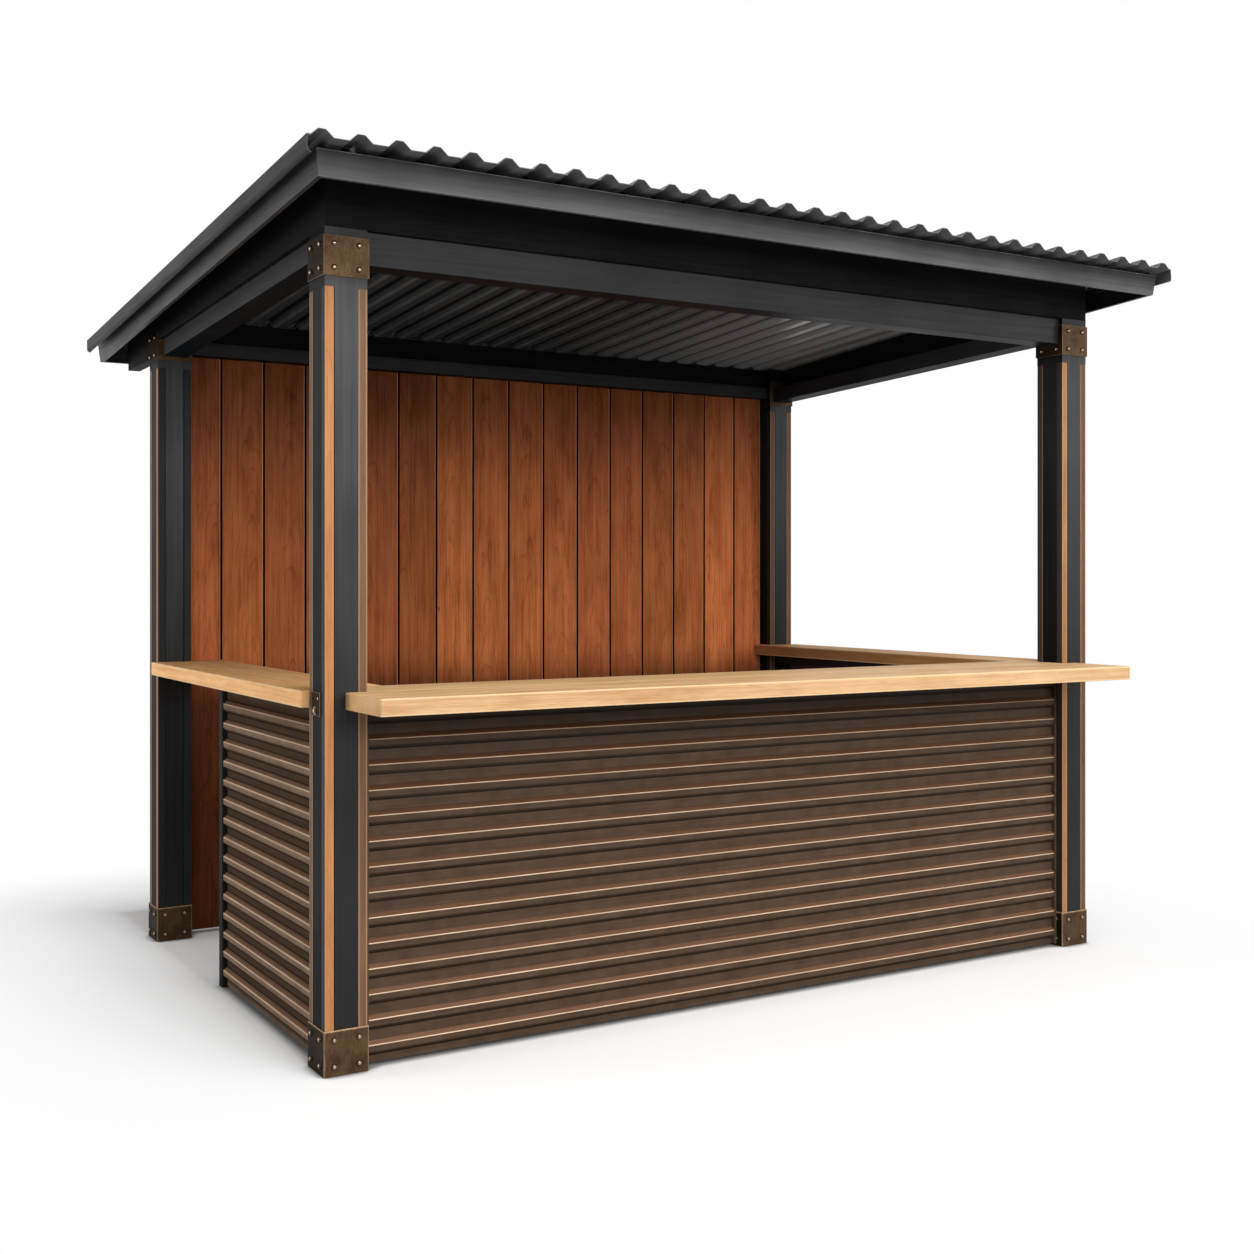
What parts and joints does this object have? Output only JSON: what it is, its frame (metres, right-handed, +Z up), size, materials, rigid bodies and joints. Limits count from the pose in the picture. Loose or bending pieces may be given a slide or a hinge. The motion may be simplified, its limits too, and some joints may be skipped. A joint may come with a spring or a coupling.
{
  "type": "market stall",
  "caption": "Open market stall with boxed posts, timber worktops over ribbed metal counters, a boarded back wall and a low mono-pitch roof of trapezoidal sheet.",
  "frame": {"origin": "on the floor, under the middle of the roof", "axes": "+X along the front counter to the right of a customer, +Y from the front to the back wall, +Z up"},
  "size_m": [3.292, 2.655, 2.5328],
  "materials": {
    "frame_paint": "charcoal satin paint",
    "counter_frame": "charcoal paint",
    "roof_paint": "dark grey matt coating",
    "corner_timber": "oiled timber",
    "bronze_fittings": "dark bronze patina",
    "bronze_cladding": "bronze-brown coating",
    "oak_worktop": "oiled oak",
    "red_boards": "stained red-brown boards"
  },
  "bodies": {
    "root": {"front_left_post": "frame_paint", "front_right_post": "frame_paint", "back_left_post": "frame_paint", "back_right_post": "frame_paint", "front_left_strips": "corner_timber", "front_right_strips": "corner_timber", "back_left_strips": "corner_timber", "back_right_strips": "corner_timber", "front_left_boot": "bronze_fittings", "front_right_boot": "bronze_fittings", "back_left_boot": "bronze_fittings", "back_right_boot": "bronze_fittings", "front_left_bracket": "bronze_fittings", "front_right_bracket": "bronze_fittings", "back_left_bracket": "bronze_fittings", "back_right_bracket": "bronze_fittings", "front_beam": "frame_paint", "back_beam": "frame_paint", "left_beam": "frame_paint", "right_beam": "frame_paint", "front_lintel": "frame_paint", "back_lintel": "frame_paint", "left_lintel": "frame_paint", "right_lintel": "frame_paint", "roof_sheet": "roof_paint", "front_fascia": "roof_paint", "back_fascia": "roof_paint", "left_fascia": "roof_paint", "right_fascia": "roof_paint", "left_barge": "roof_paint", "right_barge": "roof_paint", "front_worktop": "oak_worktop", "left_worktop": "oak_worktop", "right_worktop": "oak_worktop", "worktop_plate": "bronze_fittings", "front_cladding": "bronze_cladding", "left_cladding": "bronze_cladding", "right_cladding": "bronze_cladding", "cladding_trims": "bronze_cladding", "counter_rails": "counter_frame", "counter_studs": "counter_frame", "back_wall": "red_boards", "back_battens": "frame_paint"}
  },
  "joints": []
}
